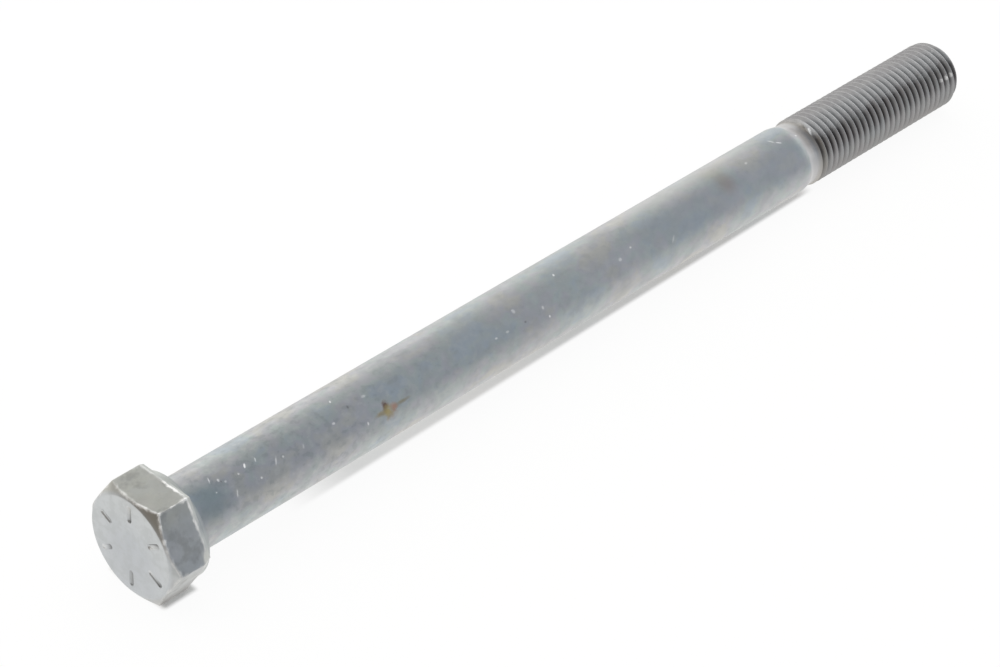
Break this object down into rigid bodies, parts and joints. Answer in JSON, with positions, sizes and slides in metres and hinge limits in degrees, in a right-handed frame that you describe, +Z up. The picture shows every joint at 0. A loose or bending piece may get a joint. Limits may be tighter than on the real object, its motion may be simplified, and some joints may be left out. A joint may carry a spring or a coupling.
{
  "type": "hex bolt",
  "caption": "Long hex head bolt with a coned head top, round washer face, plain shank, short neck and finely threaded end, for clamping parts through a hole.",
  "frame": {"origin": "on the floor under the middle of the bolt's box, as it lies at rest", "axes": "+X along the bolt from the head to the point, dipping less than one degree towards the point, +Z up; one flat of the head faces down"},
  "size_m": [0.1706, 0.0184, 0.016],
  "materials": {
    "zinc_plated_steel": "satin zinc plating, scuffed, with small rust spots"
  },
  "bodies": {
    "root": {"bolt": "zinc_plated_steel"}
  },
  "joints": []
}
